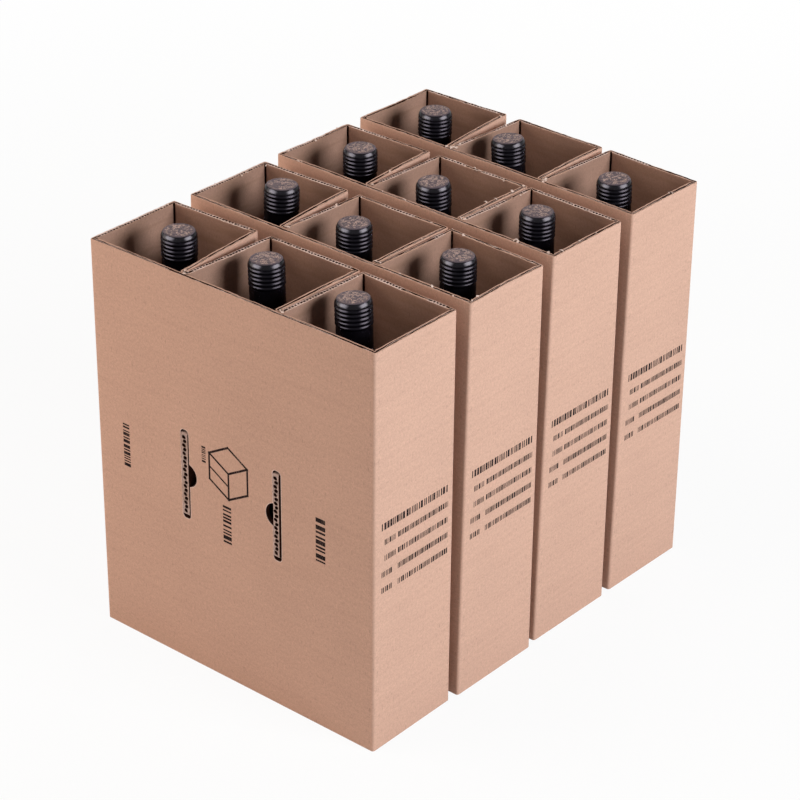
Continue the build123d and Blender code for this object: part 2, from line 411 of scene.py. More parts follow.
def worn_material(cap):
    """Rubbed top of the cap: dull lacquer, scuffed through in the middle."""
    shader = finish("worn_lacquer", Specular_IOR_Level=0.08)
    place = shader.place()
    middle = 1 - shader.split(shader.sheet(), 1).between(0.0100, 0.0132)
    patches = shader.cloud(place, 360.0, 3.0, 0.7).between(0.46, 0.57)
    grains = shader.cloud(place, 1000.0, 2.0, 0.6).between(0.38, 0.56)
    streaks = shader.stretch(place, (1.0, 0.22, 1.0))
    scratches = shader.cloud(streaks, 900.0, 2.0).between(0.58, 0.68)
    rubbed = patches * grains * middle * 0.9 + scratches * 0.40 * middle
    haze = shader.cloud(place, 90.0, 2.0)
    colour = shader.mix(rubbed, shader.mix(haze, toned(cap.worn, 0.70), cap.worn), cap.scuff)
    rough = haze * 0.15 + rubbed * 0.2 + 0.42
    normal = shader.bump(grains + patches, 0.30, 0.00008)
    return shader.surface(Base_Color=colour, Roughness=rough, Normal=normal)


class Patchwork:
    """Faces gathered by their corners, then welded into one mesh."""

    def __init__(self):
        self.groups = {}

    def add(self, corners, places, material):
        """Faces of one corner count: corners (n, k, 3) in metres, places (n, k, 2) on the sheet."""
        corners = np.asarray(corners, float)
        group = self.groups.setdefault(corners.shape[1], [])
        group.append((corners, np.asarray(places, float), material))

    def mesh(self, name, materials):
        points, places, starts, numbers = [], [], [], []
        vertex = 0
        for size, group in self.groups.items():
            for corners, spots, material in group:
                amount = len(corners)
                points.append(corners.reshape(-1, 3))
                places.append(spots.reshape(-1, 2))
                starts.append(vertex + size * np.arange(amount))
                numbers.append(np.full(amount, material))
                vertex += size * amount
        made = bpy.data.meshes.new(name)
        points = np.concatenate(points)
        made.vertices.add(len(points))
        made.vertices.foreach_set("co", points.astype(np.float32).ravel())
        made.loops.add(len(points))
        made.loops.foreach_set("vertex_index", np.arange(len(points), dtype=np.int32))
        starts = np.concatenate(starts)
        made.polygons.add(len(starts))
        made.polygons.foreach_set("loop_start", starts.astype(np.int32))
        made.polygons.foreach_set("material_index", np.concatenate(numbers).astype(np.int32))
        layer = made.uv_layers.new(name="sheet")
        layer.data.foreach_set("uv", np.concatenate(places).astype(np.float32).ravel())
        made.update(calc_edges=True)
        work = bmesh.new()
        work.from_mesh(made)
        bmesh.ops.remove_doubles(work, verts=work.verts, dist=2e-6)
        work.to_mesh(made)
        work.free()
        for material in materials:
            made.materials.append(material)
        made.shade_smooth()
        made.set_sharp_from_angle(angle=math.radians(32))
        return made


def add_piece(name, mesh, nodes):
    """Links a finished mesh as a piece that rides with the pack, in place of its CAD nodes."""
    piece = bpy.data.objects.new(name, mesh)
    bpy.context.scene.collection.objects.link(piece)
    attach(piece, "root")
    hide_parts(*nodes)


def heading(start, end):
    along = np.subtract(end, start)
    return along / np.hypot(*along)


def right_of(way):
    return np.array((way[1], -way[0]))


def turns_left(before, after):
    return before[0] * after[1] > before[1] * after[0]


def arc(centre, radius, start, end, steps):
    """Points round a centre, from one angle to another in degrees."""
    angles = np.radians(np.linspace(start, end, steps + 1))
    return [(centre[0] + radius * math.cos(a), centre[1] + radius * math.sin(a)) for a in angles]


def quads_between(near, far, flip=False):
    """Four-cornered faces between two lines of points."""
    quads = np.stack((near[:-1], near[1:], far[1:], far[:-1]), 1)
    return quads[:, ::-1] if flip else quads


def fold_corner(fold, before, after, half, crease, steps=5):
    """Outer and inner points round a fold in plan, and how far the straight walls stop short of it.

    With a crease, the inner face folds inwards to a narrow furrow of eight points.
    """
    out_before, out_after = right_of(before), right_of(after)
    side = 1 if turns_left(before, after) else -1
    inside = fold - side * (out_before + out_after) * half / (1 + out_before @ out_after)
    trim = (fold - inside) @ before + crease
    start, end = (math.degrees(math.atan2(*(side * way)[::-1])) for way in (out_before, out_after))
    end = start + (end - start + 180) % 360 - 180
    wide = [np.array(point) for point in arc(fold, half, start, end, steps)]
    wide.insert(0, fold + side * out_before * half - before * trim)
    wide.append(fold + side * out_after * half + after * trim)
    tight = [inside] * len(wide)
    if crease:
        deep = heading(inside, fold)
        furrow = ((crease, 0.0), (crease * 0.7, -0.2), (1.25, 0.1), (0.7, 1.9))
        tight = [inside - before * away + deep * rise for away, rise in furrow]
        tight += [inside + after * away + deep * rise for away, rise in furrow[::-1]]
    return (wide, tight, trim) if side > 0 else (tight, wide, trim)


class SleevePlan:
    """One folded sleeve: its sheet followed from the front left corner round to the back left."""

    def __init__(self, number, board):
        self.number = number
        self.half = board.thickness / MM / 2
        self.draw = DRAW_IN[number]
        self.dividers = self.divider_folds()
        self.folds = self.fold_path()
        self.stand = self.standing()
        self.sample(board.tooth / MM)
        self.sway = self.bowing(board)
        self.open_channel()

    def standing(self):
        """Matrix from the sleeve's own corner to its place in the pack."""
        behind = sum(SLEEVE_DEPTH + SLEEVE_SPACE[row] for row in range(self.number))
        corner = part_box("sleeve_1")[0] / MM
        place = Matrix.Translation((corner.x + SLEEVE_ACROSS[self.number], corner.y + behind, 0))
        return np.array(place @ Matrix.Rotation(math.radians(SLEEVE_TURN[self.number]), 4, "Z"))

    def divider_folds(self):
        """Front and back folds of the left and right layer of each divider."""
        dividers = []
        offset = self.half + DIVIDER_GAP / 2
        front = 3 * self.half + TOUCH
        back = SLEEVE_DEPTH - self.half + BACK_BULGE
        for number, width in enumerate(OPENINGS[self.number], start=1):
            middle = number * CELL_PITCH
            splay = DIVIDER_SPLAY if middle > SLEEVE_LENGTH / 2 else -DIVIDER_SPLAY
            spread = width / 2 + self.half
            left = ((middle - offset, front), (middle + splay - spread, back))
            right = ((middle + offset, front), (middle + splay + spread, back))
            dividers.append((left, right))
        return dividers

    def fold_path(self):
        ((a1_front, a1_back), (b1_front, b1_back)), ((a2_front, a2_back), (b2_front, b2_back)) = (
            self.dividers)
        left, right = self.half, SLEEVE_LENGTH - self.half
        front, back = self.half, SLEEVE_DEPTH - self.half
        path = [(left, front), (right, front), (right, back), b2_back, b2_front, a2_front, a2_back]
        path += [b1_back, b1_front, a1_front, a1_back, (left, back)]
        return [np.array(point) for point in path]

    def sample(self, step):
        """Points of both faces along the sheet; spans are the straight walls between two folds."""
        folds = self.folds
        ways = [heading(*pair) for pair in zip(folds, folds[1:] + folds[:1])]
        corners = []
        for fold, before, after in zip(folds, ways[-1:] + ways, ways):
            crease = CREASE if turns_left(before, after) else 0.0
            corners.append(fold_corner(fold, before, after, self.half, crease))
        outer, inner, spans, furrows = [], [], [], []
        for k, ((out_bend, in_bend, trim), way) in enumerate(zip(corners, ways)):
            outer += out_bend
            inner += in_bend
            first = len(outer) - 1
            if trim > CREASE:
                furrows += range(first - 5, first - 2)
            following = (k + 1) % len(folds)
            start = folds[k] + way * trim
            end = folds[following] - way * corners[following][2]
            pieces = max(1, round(np.hypot(*(end - start)) / step))
            away = right_of(way) * self.half
            for piece in range(1, pieces):
                point = start + (end - start) * piece / pieces
                outer.append(point + away)
                inner.append(point - away)
            spans.append((first, len(outer)))
        self.outer = np.array(outer + outer[:1])
        self.inner = np.array(inner + inner[:1])
        self.spans = spans
        move = sum(np.hypot(*np.diff(face, axis=0).T) for face in (self.outer, self.inner))
        self.run = np.concatenate(([0.0], np.cumsum(move / 2)))
        self.furrow = np.isin(np.arange(len(move)), furrows)

    def run_at(self, span, value):
        """How far along the sheet a point of the front panel, by X, or the right end, by Y, is."""
        first = self.spans[span][0]
        axis = (FRONT_PANEL, RIGHT_END).index(span)
        return self.run[first] + value - self.outer[first, axis]

    def bowing(self, board):
        """How far each sample bows into its cell at the rim."""
        chance = random.Random(board.seed + self.number)
        sway = np.zeros(len(self.run))
        for k, (first, last) in enumerate(self.spans):
            lobes = 3 if k == FRONT_PANEL else 1
            amount = board.bow / MM * chance.uniform(0.2, 1.0)
            share = np.linspace(0, 1, last - first + 1)
            sway[first:last + 1] = amount * np.sin(math.pi * lobes * share) ** 2
        return sway

    def uneven(self, scale, seed):
        """Smooth random values from about -1 to 1 along the sheet, the same at both its ends."""
        angles = self.run / self.run[-1] * 2 * math.pi
        radius = self.run[-1] / (2 * math.pi * scale)
        level = seed * 17.3 + self.number * 5.1
        ring = ((radius * math.cos(a), radius * math.sin(a), level) for a in angles)
        return np.array([noise.noise(Vector(point)) for point in ring]) * 1.6

    def open_channel(self):
        """Where the cut edge is open: its middle and half width in the depth, and the knife marks.

        The knife has marked the cell backs, the right layers of the dividers and the left end.
        """
        middles = {2: 0.37, 3: 0.36, 6: 0.37, 7: 0.36, 10: 0.37, 11: 0.62}
        shows = self.uneven(45, 8) + KNIFE_MARKS[self.number]
        marked = np.zeros(len(self.run))
        stops, middle = [], []
        for k, (first, last) in enumerate(self.spans):
            stops += [self.run[first], self.run[last]]
            middle += [middles.get(k, 0.5)] * 2
            if k in middles:
                marked[first + 1:last] = shows[first + 1:last] > 0
        self.middle = np.interp(self.run, stops, middle) + 0.04 * self.uneven(18, 9)
        soft = np.convolve(marked, (0.2, 0.6, 0.2), "same")
        self.gape = (0.22 + 0.06 * self.uneven(12, 10)) * (1 - soft) + 0.235 * soft
        self.marked = marked > 0
        even = np.arange(len(self.run) - 1) % 2 == 0
        self.teeth = np.nonzero(self.marked[:-1] & self.marked[1:] & even)[0]

    def settle(self, points):
        """Plan points (x, y, z), leant with the front panel and stood in the pack, in metres."""
        points = np.array(points, float)
        front = 3 * self.half + TOUCH
        back = SLEEVE_DEPTH - self.half
        share = np.clip((back - points[..., 1]) / (back - front), 0, 1)
        points[..., 1] += self.draw * points[..., 2] / SLEEVE_HEIGHT * share
        return (points @ self.stand[:3, :3].T + self.stand[:3, 3]) * MM

    def at(self, run, height, depth):
        """Places of points of the sheet: how far along, how high, how deep from its outer face."""
        values = (np.asarray(value, float) for value in (run, height, depth))
        run, height, depth = np.broadcast_arrays(*values)
        sides = [
            np.stack([np.interp(run, self.run, face[:, axis]) for axis in (0, 1)], -1)
            for face in (self.outer, self.inner)
        ]
        through = sides[1] - sides[0]
        plan = sides[0] + through * depth[..., None]
        lift = np.clip((height - BOW_START) / (SLEEVE_HEIGHT - BOW_START), 0, 1)
        bow = np.interp(run, self.run, self.sway) * lift * lift * (3 - 2 * lift)
        thickness = np.maximum(np.hypot(through[..., 0], through[..., 1]), 1e-9)
        plan += through / thickness[..., None] * bow[..., None]
        return self.settle(np.concatenate((plan, height[..., None]), -1))


def sweep(work, plan, lines, strips, skips):
    """Faces between neighbouring lines that follow the sheet; lines hold depth and height along it.

    A strip's material is one number, or one for each column.
    """
    count = len(plan.run)
    depth = np.array([np.broadcast_to(line[0], count) for line in lines])
    height = np.array([np.broadcast_to(line[1], count) for line in lines])
    points = plan.at(plan.run[None, :], height, depth)
    spots = np.stack(np.broadcast_arrays(plan.run[None, :], height), -1) * MM
    for index, material in enumerate(strips):
        above = (index + 1) % len(lines)
        keep = np.ones(count - 1, bool)
        for skip in skips.get(index, ()):
            keep[skip] = False
        order = ((index, 0), (index, 1), (above, 1), (above, 0))
        for number in np.unique(material):
            columns = np.nonzero(keep & (np.broadcast_to(material, count - 1) == number))[0]
            corners = np.stack([points[line, columns + step] for line, step in order], 1)
            places = np.stack([spots[line, columns + step] for line, step in order], 1)
            work.add(corners, places, number)


def slot_shape(left, side):
    """Outline of a locking slot, as X and Z, with its thumb notch on the given side."""
    width, height, round_end, reach, half = 8.8, 83.0, 3.4, 8.0, 10.5
    radius = (half**2 + reach**2) / (2 * reach)
    limit = math.degrees(math.asin(half / radius))
    turn = 0 if side > 0 else 180
    notch = arc((side * (width / 2 + reach - radius), 0), radius, turn - limit, turn + limit, 12)
    points = []
    for quarter, (x, z) in enumerate(((1, -1), (1, 1), (-1, 1), (-1, -1))):
        if (quarter, side) in ((1, 1), (3, -1)):
            points += notch
        corner = x * (width / 2 - round_end), z * (height / 2 - round_end)
        points += arc(corner, round_end, 90 * quarter - 90, 90 * quarter, 5)
    return [(left + width / 2 + x, SLEEVE_HEIGHT / 2 + z) for x, z in points]


def grown(outline, amount):
    """Outline moved outwards by an even amount."""
    points = np.array(outline)
    before = points - np.roll(points, 1, axis=0)
    after = np.roll(points, -1, axis=0) - points
    before /= np.hypot(*before.T)[:, None]
    after /= np.hypot(*after.T)[:, None]
    away = np.stack((before[:, 1] + after[:, 1], -before[:, 0] - after[:, 0]), -1)
    away /= np.maximum(np.hypot(*away.T)[:, None], 0.6)
    return [tuple(point) for point in points + away * amount]


def stroke(start, end, width):
    """Straight stroke of print as four corners."""
    way = heading(start, end) * width / 2
    aside = right_of(way)
    start, end = np.array(start) - way, np.array(end) + way
    return [tuple(point) for point in (start + aside, end + aside, end - aside, start - aside)]


def code_marks(origin, along, up, length, height, seed):
    """Row of plain upright bars of several widths, from an origin, in place of a printed line."""
    chance = random.Random(seed)
    along, up = np.array(along, float), np.array(up, float)
    marks = []
    reached = 0.0
    while True:
        width = chance.choice((0.16, 0.20, 0.24, 0.40)) * height
        if reached + width > length:
            return marks
        foot, top = np.array(origin) + along * reached, up * height
        corners = (foot, foot + along * width, foot + along * width + top, foot + top)
        marks.append([tuple(corner) for corner in corners])
        reached += width + height * chance.choice((0.12, 0.14, 0.16, 0.26))


def box_sign(middle, size):
    """Plain outline of a closed carton in three faces."""
    ring = [np.array(point) for point in arc(middle, size, 30, 330, 5)]
    marks = [stroke(start, end, 1.9) for start, end in zip(ring, ring[1:] + ring[:1])]
    marks += [stroke(middle, ring[k], 1.9) for k in (0, 2, 4)]
    marks.append(stroke((ring[2] + ring[3]) / 2, (np.array(middle) + ring[4]) / 2, 1.6))
    return marks


def front_print():
    """Fields of ink on the front panel, as X and Z."""
    marks = []
    for origin, length, height, seed in (
        ((28.5, 202.0), 41.0, 7.4, 3), ((140.0, 167.5), 36.0, 9.2, 5),
        ((240.0, 196.0), 42.0, 10.0, 11), ((118.0, 214.0), 15.0, 4.4, 9),
    ):
        marks += code_marks(origin, (0, -1), (1, 0), length, height, seed)
    return marks + box_sign((147.0, 198.5), 24.0)


def end_print():
    """Fields of ink on the right end panel, as Y and Z."""
    marks = code_marks((9.0, 202.5), (1, 0), (0, 1), 82.0, 6.4, 21)
    for row, start in enumerate((12.5, 12.5, 9.0, 9.0)):
        base = 188.6 - 14.3 * row
        marks += code_marks((start, base), (1, 0), (0, 1), 13.5, 5.0, 30 + row)
        marks += code_marks((28.5, base), (1, 0), (0, 1), 62.5, 5.0, 40 + row)
    return marks


def flat_panel(work, plan, span, heights, depth, face, holes=(), halos=(), inks=()):
    """Panel with holes and print: every outline on its plane is an edge of the mesh."""
    first, last = plan.spans[span]
    runs = plan.run[first:last + 1]
    border = [(value, heights[0]) for value in runs]
    border += [(runs[-1], value) for value in heights[1:]]
    border += [(value, heights[-1]) for value in runs[-2::-1]]
    border += [(runs[0], value) for value in heights[-2:0:-1]]
    shapes = [border]
    for outline in (*holes, *halos, *inks):
        shapes.append([(plan.run_at(span, along), height) for along, height in outline])
    kinds = [face] + [None] * len(holes) + [CUT] * len(halos) + [INK] * len(inks)
    points, faces = [], []
    for shape in shapes:
        faces.append(list(range(len(points), len(points) + len(shape))))
        points += [Vector(point) for point in shape]
    flat, _, triangles, _, _, origins = delaunay_2d_cdt(points, [], faces, 1, 1e-5, True)
    flat = np.array([tuple(point) for point in flat])
    groups = {}
    for triangle, sources in zip(triangles, origins):
        found = [kinds[source] for source in sources]
        if 0 in sources and None not in found:
            groups.setdefault(max(found), []).append(triangle)
    for material, group in groups.items():
        corners = flat[np.array(group)]
        turn = np.cross(corners[:, 1] - corners[:, 0], corners[:, 2] - corners[:, 0])
        corners[turn < 0] = corners[turn < 0][:, ::-1]
        if depth > 0.5:
            corners = corners[:, ::-1]
        work.add(plan.at(corners[..., 0], corners[..., 1], depth), corners * MM, material)


def cut_through(work, plan, runs, heights, depths, material, flip=True):
    """Cut faces along a line on the board, from one depth in it to another."""
    near, far = (plan.at(runs, heights, depth) for depth in depths)
    spots = np.stack(np.broadcast_arrays(runs, heights), -1) * MM
    work.add(quads_between(near, far, flip), quads_between(spots, spots, flip), material)


def hole_walls(work, plan, outline, liner):
    """Cut faces round a hole in the front panel: a liner, then the medium."""
    x, heights = np.transpose([*outline, outline[0]])
    runs = plan.run_at(FRONT_PANEL, x)
    cut_through(work, plan, runs, heights, (0, liner), CUT)
    cut_through(work, plan, runs, heights, (liner, 1), MEDIUM_SHADE)


def add_flat(work, plan, faces, axes, material):
    """Faces of plan points (x, y, z); the two axes lie along their sheet."""
    work.add(plan.settle(faces), faces[..., axes] * MM, material)


def prism(work, plan, outline, start, end, left_out):
    """Flat slab of board: an outline in Y and Z, from one X to another, less one of its edges."""
    left, right = (np.array([(x, y, z) for y, z in outline]) for x in (start, end))
    fan = np.array([(0, k, k + 1) for k in range(1, len(outline) - 1)])
    # The sides get the near-black medium: painted shade of the deep hole seen through the slot and
    # notch
    for triangles in (left[fan], right[fan][:, ::-1]):
        add_flat(work, plan, triangles, [1, 2], MEDIUM_SHADE)
    edges = np.array([k for k in range(len(outline)) if k != left_out])
    ahead = (edges + 1) % len(outline)
    quads = np.stack([left[edges], right[edges], right[ahead], left[ahead]], 1)
    add_flat(work, plan, quads, [1, 2], PRESSED)


def lock_tab(work, plan, layer, board):
    """Tab of a divider in its slot: its end shows the flutes' hollows, pressed by the knife."""
    near, deep, margin = 0.12, 4 * plan.half + TOUCH, 2.3
    left = layer[0][0] - plan.half
    loose = 2.7 if left < SLEEVE_LENGTH / 2 else 1.6
    right = left + 2 * plan.half + loose
    centre = (left + right) / 2
    low, high = (SLEEVE_HEIGHT - TAB_HEIGHT) / 2, (SLEEVE_HEIGHT + TAB_HEIGHT) / 2
    outline = [(deep, low), (deep, high), (1.6, high), (0.5, high - 0.5), (near, high - 2.0)]
    outline += [(near, low + 2.0), (0.5, low + 0.5), (1.6, low)]
    prism(work, plan, outline, left, right, 4)
    chance = random.Random(board.seed * 7 + plan.number)
    span = high - low - 2 * margin
    hollows = round(span / (board.flute / MM / 2))
    oval = ((-1.0, 0.0), (-0.75, 0.8), (-0.2, 1.0), (0.45, 0.95), (0.8, 0.6), (1.0, 0.0))
    rows = [(low + 2.0, centre, centre)]
    for hollow in range(hollows):
        side = 1 if hollow % 2 else -1
        middle = low + margin + (hollow + 0.5) * span / hollows + chance.uniform(-0.2, 0.2)
        across = centre + 0.45 * side + chance.uniform(-0.2, 0.2)
        wide, tall = chance.uniform(1.75, 2.15), chance.uniform(1.5, 1.7)
        for share, spread in oval:
            lean = across + 0.25 * side * share
            rows.append((middle + tall * share, lean - wide * spread, lean + wide * spread))
    heights, west, east = np.transpose([*rows, (high - 2.0, centre, centre)])
    # The hollows' walls are near black: painted shade inside the flute hollows
    for first, first_y, second, second_y, material in (
        (left, near, west, near, PRESSED), (east, near, right, near, PRESSED),
        (west, near, west, deep, MEDIUM_SHADE), (east, deep, east, near, MEDIUM_SHADE),
    ):
        a, b = (
            np.stack(np.broadcast_arrays(x, y, heights), -1)
            for x, y in ((first, first_y), (second, second_y))
        )
        add_flat(work, plan, quads_between(a, b, True), [0, 2], material)


def floor_flap(work, plan, cell):
    """Floor of a cell: along the ground, up at the front and back over the top."""
    (left_front, left_back), (right_front, right_back) = cell
    half = plan.half
    start = max(left_front[0], left_back[0]) + half + FLAP_GAP
    end = min(right_front[0], right_back[0]) - half - FLAP_GAP
    front = 3 * half + FLAP_GAP + plan.draw * FLOOR_RISE / SLEEVE_HEIGHT
    back = (left_back[1] + right_back[1]) / 2
    top = FLOOR_RISE - half
    path = [(back, half), (front, half), (front, top), (SLEEVE_DEPTH - 2 * half - FLAP_GAP, top)]
    path = [np.array(point) for point in path]
    ways = [heading(*pair) for pair in zip(path, path[1:])]
    asides = [right_of(way) * half for way in (ways[0], ways[-1])]
    outer, inner = [path[0] + asides[0]], [path[0] - asides[0]]
    for fold, before, after in zip(path[1:], ways, ways[1:]):
        out_bend, in_bend, _ = fold_corner(fold, before, after, half, 0.0, 6)
        outer += out_bend
        inner += in_bend
    outer = np.array(outer + [path[-1] + asides[1]])
    inner = np.array(inner + [path[-1] - asides[1]])
    for points, flip in ((outer, True), (inner, False)):
        near, far = (np.insert(points, 0, x, axis=1) for x in (start, end))
        add_flat(work, plan, quads_between(near, far, flip), [0, 1], OUTSIDE)
    for x, flip in ((start, False), (end, True)):
        near, far = (np.insert(points, 0, x, axis=1) for points in (outer, inner))
        add_flat(work, plan, quads_between(near, far, flip), [1, 2], CUT)
    tip = [(start, *outer[-1]), (end, *outer[-1]), (end, *inner[-1]), (start, *inner[-1])]
    add_flat(work, plan, np.array([tip]), [0, 1], CUT)


def torn_flakes(work, plan, board):
    """Small curled flakes of liner, torn up at the rim where the knife left it."""
    chance = random.Random(board.seed * 31 + plan.number)
    near_front = [plan.spans[k][0] for k in DIVIDER_FRONTS]
    count = len(plan.run) - 1
    for flake in range(FLAKES[plan.number]):
        if flake < 6:
            index = near_front[flake % 2] + chance.randint(-5, 5)
        else:
            index = chance.randrange(count)
        root = np.array((plan.run[index % count], chance.uniform(0.1, 0.9) * 2 * plan.half))
        tip = np.array((chance.uniform(-3.5, 3.5), chance.uniform(-2.5, 4.2)))
        tip[1] = max(tip[1], 0.1 - root[1])
        aside = right_of(tip / np.hypot(*tip)) * chance.uniform(0.7, 1.4)
        rows = []
        for share in (0.0, 0.25, 0.5, 0.75, 1.0):
            high = SLEEVE_HEIGHT - 0.5 + 1.3 * math.sin(share * 2.6)
            for side, sunk in ((-1, 0.0), (1, 0.2)):
                along, deep = root + tip * share + aside * side * (1 - 0.5 * share * share)
                rows.append((along, high - sunk, max(deep, 0.05) / (2 * plan.half)))
        rows = np.array(rows).reshape(5, 2, 3)
        points = plan.at(rows[..., 0], rows[..., 1], rows[..., 2])
        quads, spots = (
            np.stack((grid[:-1, 0], grid[:-1, 1], grid[1:, 1], grid[1:, 0]), 1)
            for grid in (points, rows[..., :2] * MM)
        )
        work.add(quads, spots, TORN)


def make_sleeve(number, board, materials):
    """Mesh of one sleeve: both liners, open cut edges with the medium, slots, tabs and floors."""
    plan = SleevePlan(number, board)
    work = Patchwork()
    liner = board.liner / board.thickness
    high = SLEEVE_HEIGHT
    base = high - board.channel / MM
    window = (high - TAB_HEIGHT) / 2 - TOUCH, (high + TAB_HEIGHT) / 2 + TOUCH
    walls = [0.0, 60.0, *window, 250.0, 275.0, 300.0, 320.0, 338.0, 350.0, base]
    crush_out, crush_in = (
        0.03 + 0.08 * np.clip(plan.uneven(scale, seed) + 0.15, 0, 1)
        for scale, seed in ((28, 1), (25, 2))
    )
    rim_out, rim_in = (
        high - 0.10 - np.clip((plan.uneven(fine, seed) + plan.uneven(broad, seed + 1)) / 4, 0, 0.6)
        for fine, broad, seed in ((5, 70, 3), (4, 60, 5))
    )
    lips = plan.middle - plan.gape, plan.middle + plan.gape
    sunk = 0.12 + 0.2 * np.clip(plan.uneven(3, 7), 0, 1)
    upper, lower = high - 0.95, high - 2.0
    outer = [(0, z) for z in (*walls, lower, upper)]
    inner = [(1, z) for z in (upper, lower, *walls[::-1])]
    rim = [(crush_out, rim_out), (lips[0], rim_out - sunk), (lips[0], base)]
    rim += [(lips[1], base), (lips[1], rim_in - sunk), (1 - crush_in, rim_in)]
    foot = [(1 - liner, 0.0), (1 - liner, 1.5), (liner, 1.5), (liner, 0.0)]
    lines = outer + rim + inner + foot
    lip = np.where(plan.marked[:-1], CUT, OUTSIDE)
    # Crease furrows get the near-black medium: painted shade in the crease
    lining = np.where(plan.furrow, MEDIUM_SHADE, INSIDE)
    strips = [OUTSIDE] * len(outer) + [lip, MEDIUM_SHADE, MEDIUM_SHADE, MEDIUM_SHADE, lip]
    strips += [lining] * len(inner) + [CUT, MEDIUM_SHADE, MEDIUM_SHADE, MEDIUM_SHADE, CUT]

    # The flat panels and the windows behind the tabs are left out of the swept walls
    walls_up = len(walls) - 1
    inner_walls = range(len(lines) - len(foot) - 2, len(lines) - len(foot) - 2 - walls_up, -1)
    front, right_end = slice(*plan.spans[FRONT_PANEL]), slice(*plan.spans[RIGHT_END])
    windows = [
        slice(plan.spans[fold - 1][1] - 4, plan.spans[fold + 1][0]) for fold in DIVIDER_FRONTS
    ]
    skips = {}
    for strip, inner_strip in zip(range(walls_up), inner_walls):
        behind_tab = windows if walls[strip] == window[0] else []
        skips[strip] = [front, right_end] + behind_tab
        skips[inner_strip] = [front] + behind_tab
    sweep(work, plan, lines, strips, skips)
    knife_bridges(work, plan, np.minimum(rim_out, rim_in) - sunk, board)
    window_walls(work, plan, windows, window)

    holes = []
    for layer, _ in plan.dividers:
        side = 1 if layer[0][0] < SLEEVE_LENGTH / 2 else -1
        holes.append(slot_shape(layer[0][0] - plan.half - TOUCH, side))
    halos = [grown(hole, 0.55) for hole in holes]
    flat_panel(work, plan, FRONT_PANEL, walls, 0.0, OUTSIDE, holes, halos, front_print())
    flat_panel(work, plan, FRONT_PANEL, walls, 1.0, INSIDE, holes)
    flat_panel(work, plan, RIGHT_END, walls, 0.0, OUTSIDE, inks=end_print())
    for hole in holes:
        hole_walls(work, plan, hole, liner)
    for layer, _ in plan.dividers:
        lock_tab(work, plan, layer, board)
    medium_ribbon(work, plan, base)
    torn_flakes(work, plan, board)
    ends = [((x, plan.half), (x, SLEEVE_DEPTH - plan.half))
            for x in (plan.half, SLEEVE_LENGTH - plan.half)]
    lefts = [ends[0]] + [right for _, right in plan.dividers]
    rights = [left for left, _ in plan.dividers] + [ends[1]]
    for cell in zip(lefts, rights):
        floor_flap(work, plan, cell)
    return work.mesh(f"sleeve_{number + 1}_board", materials)


def knife_bridges(work, plan, rim, board):
    """Paper pressed across the channel between two teeth of the knife."""
    chance = np.random.default_rng(board.seed + plan.number)
    teeth = plan.teeth
    ends = [
        plan.run[teeth + step] + chance.uniform(-0.2, 0.2, len(teeth)) + 0.24 - 0.48 * step
        for step in (0, 1)
    ]
    top = rim[teeth] - chance.uniform(0.0, 0.3, len(teeth))
    low, high = (plan.middle + side * plan.gape for side in (-1, 1))
    corners = [(0, low), (1, low), (1, high), (0, high)]
    runs = np.stack([ends[step] for step, _ in corners], -1)
    depths = np.stack([lip[teeth + step] for step, lip in corners], -1)
    level, falling = (0, 0, 0, 0), (0, 0, 2.2, 2.2)
    for order, drop, material in (
        ((0, 1, 2, 3), level, CUT),
        ((0, 3, 3, 0), falling, MEDIUM_SHADE),
        ((1, 2, 2, 1), falling, MEDIUM_SHADE),
    ):
        run, height = runs[:, order], top[:, None] - np.array(drop)
        spots = np.stack((run, height), -1) * MM
        work.add(plan.at(run, height, depths[:, order]), spots, material)


def window_walls(work, plan, windows, heights):
    """Cut faces round the window that a tab leaves in its divider's fold."""
    for window in windows:
        runs = plan.run[window.start:window.stop + 1]
        cut_through(work, plan, runs, heights[0], (0, 1), CUT, False)
        cut_through(work, plan, runs, heights[1], (0, 1), CUT)
        cut_through(work, plan, runs[[0, 0]], heights, (0, 1), CUT)


def medium_ribbon(work, plan, base):
    """Waved paper seen along a flute: it wanders from one liner to the other between them."""
    turns = 2 * math.pi * plan.run / plan.run[-1]
    wander = np.clip(np.sin(turns * 7 + plan.number) + 0.7 * plan.uneven(14, 11), -1, 1)
    path = plan.middle + (plan.gape - 0.07) * wander
    top = SLEEVE_HEIGHT - 0.45 - np.clip(plan.uneven(6, 12) * 0.5 + 0.2, 0, 0.9)
    near, far = path - 0.05, path + 0.05
    lines = [(near, base - 0.1), (near, top), (far, top), (far, base - 0.1)]
    hidden = np.nonzero(plan.marked[:-1] | plan.marked[1:])[0]
    sweep(work, plan, lines, [MEDIUM_SHADE, CUT, MEDIUM_SHADE], {strip: [hidden] for strip in range(3)})


def lathe(name, outline, facets, materials, numbers):
    """Closed round mesh from an outline of radius and height; numbers give each band's material."""
    angles = np.arange(facets + 1) * 2 * math.pi / facets
    outline = np.array(outline)
    rings = np.stack([
        outline[:, None, 0] * np.cos(angles), outline[:, None, 0] * np.sin(angles),
        outline[:, None, 1] * np.ones_like(angles),
    ], -1) * MM
    reach = np.concatenate(([0.0], np.cumsum(np.hypot(*np.diff(outline, axis=0).T))))
    spots = np.stack(np.broadcast_arrays(angles * outline[:, 0].max(), reach[:, None]), -1) * MM
    work = Patchwork()
    for band, material in enumerate(numbers):
        order = ((band, 0), (band, 1), (band + 1, 1), (band + 1, 0))
        corners, places = (
            np.stack([grid[row, step:step + facets] for row, step in order], 1)
            for grid in (rings, spots)
        )
        work.add(corners, places, material)
    return work.mesh(name, materials)


